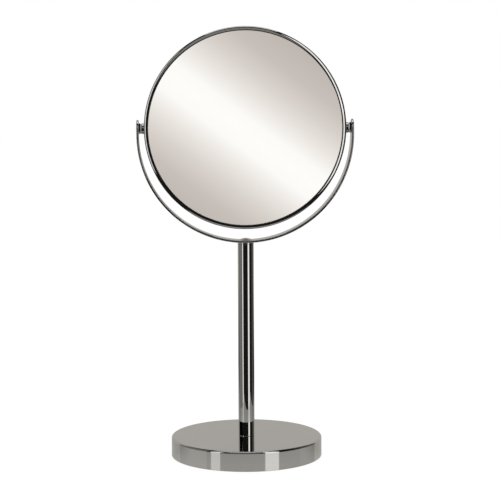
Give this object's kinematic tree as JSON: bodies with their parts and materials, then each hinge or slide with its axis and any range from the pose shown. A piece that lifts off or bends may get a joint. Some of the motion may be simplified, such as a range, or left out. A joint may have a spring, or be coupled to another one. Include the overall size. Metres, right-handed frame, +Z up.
{
  "type": "extendable shaving mirror",
  "caption": "Free-standing round double-sided mirror that tilts in a U-shaped band on a telescopic column with a weighted round base.",
  "frame": {"origin": "centre of the base's underside, on the surface it stands on, with the column down and the mirror upright", "axes": "+Z up along the column, +X along the mirror's tilt axis to the right of someone facing the plain mirror, and -Y out of the plain mirror's face"},
  "size_m": [0.1874, 0.1314, 0.3732],
  "materials": {
    "chrome_base": "polished nickel-chrome plate on a pressed steel cover",
    "chrome_tube": "polished nickel-chrome plate on drawn tube",
    "chrome_band": "polished nickel-chrome plate on flat steel band",
    "chrome_rim": "polished nickel-chrome plate on a rolled rim",
    "chrome_fixings": "polished plated screws, nuts, washer and bushes",
    "mirror_glass": "silvered float glass",
    "cast_iron": "rough sand-cast iron",
    "steel": "bright zinc-plated steel",
    "nylon": "natural moulded nylon",
    "spacer_plastic": "black moulded plastic",
    "backing_foam": "grey foam sheet",
    "pad": "matt black non-slip foam rubber"
  },
  "bodies": {
    "stand": {"base_cover": "chrome_base", "ballast_disc": "cast_iron", "foot_pad": "pad", "outer_tube": "chrome_tube", "tube_foot_plug": "steel", "column_screw": "steel", "column_washer": "steel", "column_lock_washer": "steel", "guide_bush": "nylon"},
    "sleeve": {"friction_sleeve": "nylon"},
    "yoke": {"inner_tube": "chrome_tube", "inner_tube_plug": "steel", "stop_ring": "steel", "column_head_plug": "steel", "head_washer": "chrome_fixings", "yoke_band": "chrome_band", "yoke_screw": "chrome_fixings", "pivot_screw_left": "chrome_fixings", "pivot_screw_right": "chrome_fixings", "pivot_nut_left": "chrome_fixings", "pivot_nut_right": "chrome_fixings", "pivot_washer_left": "nylon", "pivot_washer_right": "nylon"},
    "head": {"mirror_rim": "chrome_rim", "front_mirror": "mirror_glass", "rear_mirror": "mirror_glass", "glass_spacer": "spacer_plastic", "backing_disc": "backing_foam", "pivot_bush_left": "chrome_fixings", "pivot_bush_right": "chrome_fixings"}
  },
  "joints": [
    {"name": "column_slide", "type": "slide", "parent": "stand", "child": "sleeve", "axis": [0, 0, 1], "range_m": [0, 0.1]},
    {"name": "column_swivel", "type": "hinge", "parent": "sleeve", "child": "yoke", "pos_m": [0, 0, 0.05], "axis": [0, 0, 1], "continuous": true},
    {"name": "head_tilt", "type": "hinge", "parent": "yoke", "child": "head", "pos_m": [0, 0, 0.2862], "axis": [1, 0, 0], "continuous": true}
  ]
}
